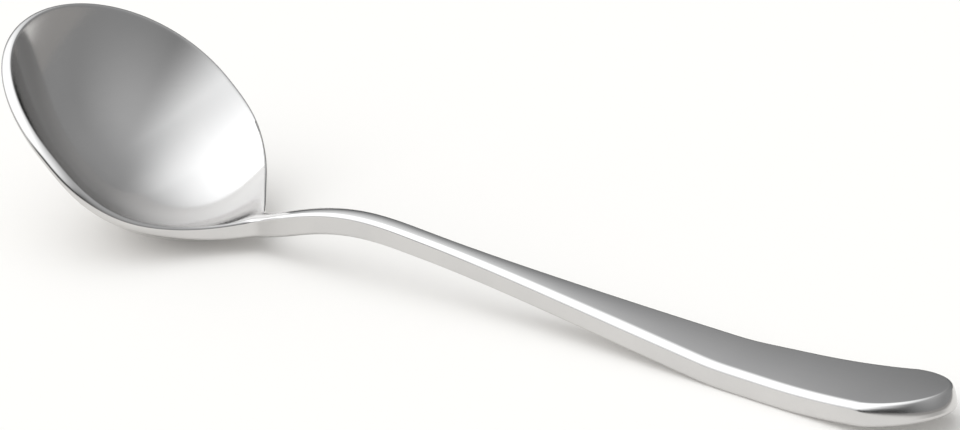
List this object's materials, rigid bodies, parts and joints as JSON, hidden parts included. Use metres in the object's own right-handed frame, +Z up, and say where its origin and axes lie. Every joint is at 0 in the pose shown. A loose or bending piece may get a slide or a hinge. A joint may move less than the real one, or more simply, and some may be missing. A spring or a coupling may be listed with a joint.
{
  "type": "cupping spoon",
  "caption": "Cupping spoon pressed from a single piece of steel: a deep round bowl pitched up from a slim neck, and an arched handle that flares to a rounded tail.",
  "frame": {"origin": "on the table, under the middle of the spoon's bounding box", "axes": "+X along the spoon from the bowl's tip to the tail, +Y across it, +Z up from the table that it rests on"},
  "size_m": [0.1716, 0.0466, 0.0317],
  "materials": {
    "stainless_steel": "polished bowl and edges, satin handle"
  },
  "bodies": {
    "root": {"spoon": "stainless_steel"}
  },
  "joints": []
}
